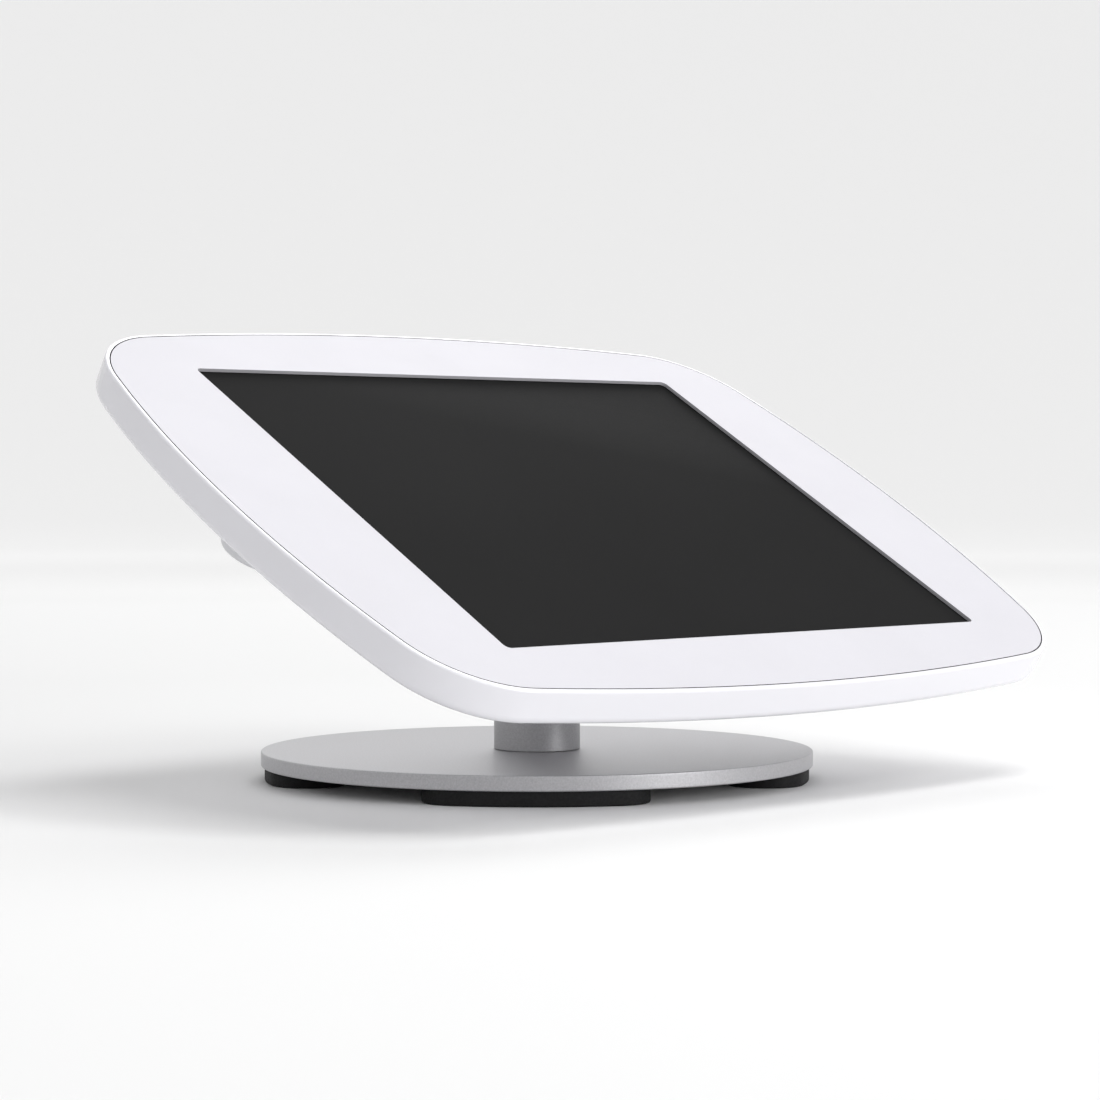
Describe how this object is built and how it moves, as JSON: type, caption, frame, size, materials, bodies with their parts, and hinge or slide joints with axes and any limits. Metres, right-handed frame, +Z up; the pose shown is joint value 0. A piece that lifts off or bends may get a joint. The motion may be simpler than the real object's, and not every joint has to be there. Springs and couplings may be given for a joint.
{
  "type": "tablet point-of-sale terminal",
  "caption": "Slim bow-sided tablet case with a matt faceplate, sloped on a bent tube that swivels on a round weighted plate with curved rubber feet.",
  "frame": {"origin": "on the counter top, on the swivel axis: the plane of the rubber feet's undersides at the centre of the round plate", "axes": "+Z up along the swivel axis, +X to the right of a user who stands on the -Y side and reads the screen, +Y to the back"},
  "size_m": [0.3756, 0.2617, 0.1822],
  "materials": {
    "plate_steel": "satin silver, fine bead-blasted grain",
    "foot_rubber": "matt black",
    "screw_steel": "zinc-plated",
    "swivel_steel": "turned",
    "bush_acetal": "natural acetal",
    "hub_aluminium": "turned",
    "tube_paint": "satin silver-grey powder coat",
    "case_gloss": "glossy white",
    "faceplate_matte": "matt white powder coat",
    "backing_steel": "zinc-plated sheet",
    "lock_metal": "satin light grey",
    "lock_steel": "satin",
    "grommet_rubber": "matt black",
    "foam": "closed-cell foam, dark grey",
    "block_plastic": "black moulded",
    "tablet_aluminium": "fine blasted anodised",
    "tablet_glass": "black screen glass",
    "display_black": "matt black",
    "battery_film": "dark film",
    "board_green": "green laminate",
    "speaker_black": "black",
    "button_metal": "anodised",
    "home_key": "black"
  },
  "bodies": {
    "base": {"base_plate": "plate_steel", "foot_screws": "screw_steel", "swivel_spigot": "swivel_steel", "spigot_screws": "screw_steel", "stop_washer": "swivel_steel", "wave_washer": "screw_steel", "spigot_nut": "swivel_steel", "rubber_foot_1": "foot_rubber", "rubber_foot_2": "foot_rubber", "rubber_foot_3": "foot_rubber", "rubber_foot_4": "foot_rubber"},
    "turret": {"swivel_hub": "hub_aluminium", "hub_screws": "screw_steel", "lower_bush": "bush_acetal", "upper_bush": "bush_acetal", "stand_tube": "tube_paint", "mount_flange": "tube_paint", "mount_screws": "screw_steel", "backing_plate": "backing_steel", "cable_grommet": "grommet_rubber", "case_tray": "case_gloss", "lock_body": "lock_metal", "lock_nut": "screw_steel", "tablet_shell": "tablet_aluminium", "tablet_glass": "tablet_glass", "tablet_display": "display_black", "tablet_battery": "battery_film", "tablet_board": "board_green", "tablet_speakers": "speaker_black", "tablet_port": "lock_steel", "corner_blocks": "block_plastic", "block_screws": "screw_steel", "corner_pads": "foam", "foam_strips": "foam"},
    "faceplate": {"faceplate": "faceplate_matte", "faceplate_hooks": "backing_steel", "lock_keeper": "backing_steel"},
    "lock": {"lock_plug": "lock_steel", "lock_cam": "backing_steel", "cam_screw": "screw_steel"},
    "home_button": {"tablet_home_button": "home_key"},
    "power_button": {"tablet_power_button": "button_metal"},
    "volume_up": {"tablet_volume_up_button": "button_metal"},
    "volume_down": {"tablet_volume_down_button": "button_metal"}
  },
  "joints": [
    {"name": "swivel", "type": "hinge", "parent": "base", "child": "turret", "pos_m": [0, 0, 0.03], "axis": [0, 0, 1], "range_deg": [-165, 165]},
    {"name": "faceplate_lift", "type": "hinge", "parent": "turret", "child": "faceplate", "pos_m": [0.18564, -0.03316, 0.1141], "axis": [0, 0.8629, 0.5054], "range_deg": [0, 85]},
    {"name": "lock_turn", "type": "hinge", "parent": "turret", "child": "lock", "pos_m": [-0.1631, -0.02709, 0.10375], "axis": [0, 0.5054, -0.8629], "range_deg": [0, 90]},
    {"name": "home_press", "type": "slide", "parent": "turret", "child": "home_button", "axis": [0, 0.5054, -0.8629], "range_m": [0, 0.0003], "stiffness_N_per_m": 2500, "springref_m": -0.0003},
    {"name": "power_press", "type": "slide", "parent": "turret", "child": "power_button", "axis": [1, 0, 0], "range_m": [0, 0.0003], "stiffness_N_per_m": 2500, "springref_m": -0.0003},
    {"name": "volume_up_press", "type": "slide", "parent": "turret", "child": "volume_up", "axis": [0, -0.8629, -0.5054], "range_m": [0, 0.0003], "stiffness_N_per_m": 2500, "springref_m": -0.0003},
    {"name": "volume_down_press", "type": "slide", "parent": "turret", "child": "volume_down", "axis": [0, -0.8629, -0.5054], "range_m": [0, 0.0003], "stiffness_N_per_m": 2500, "springref_m": -0.0003}
  ]
}
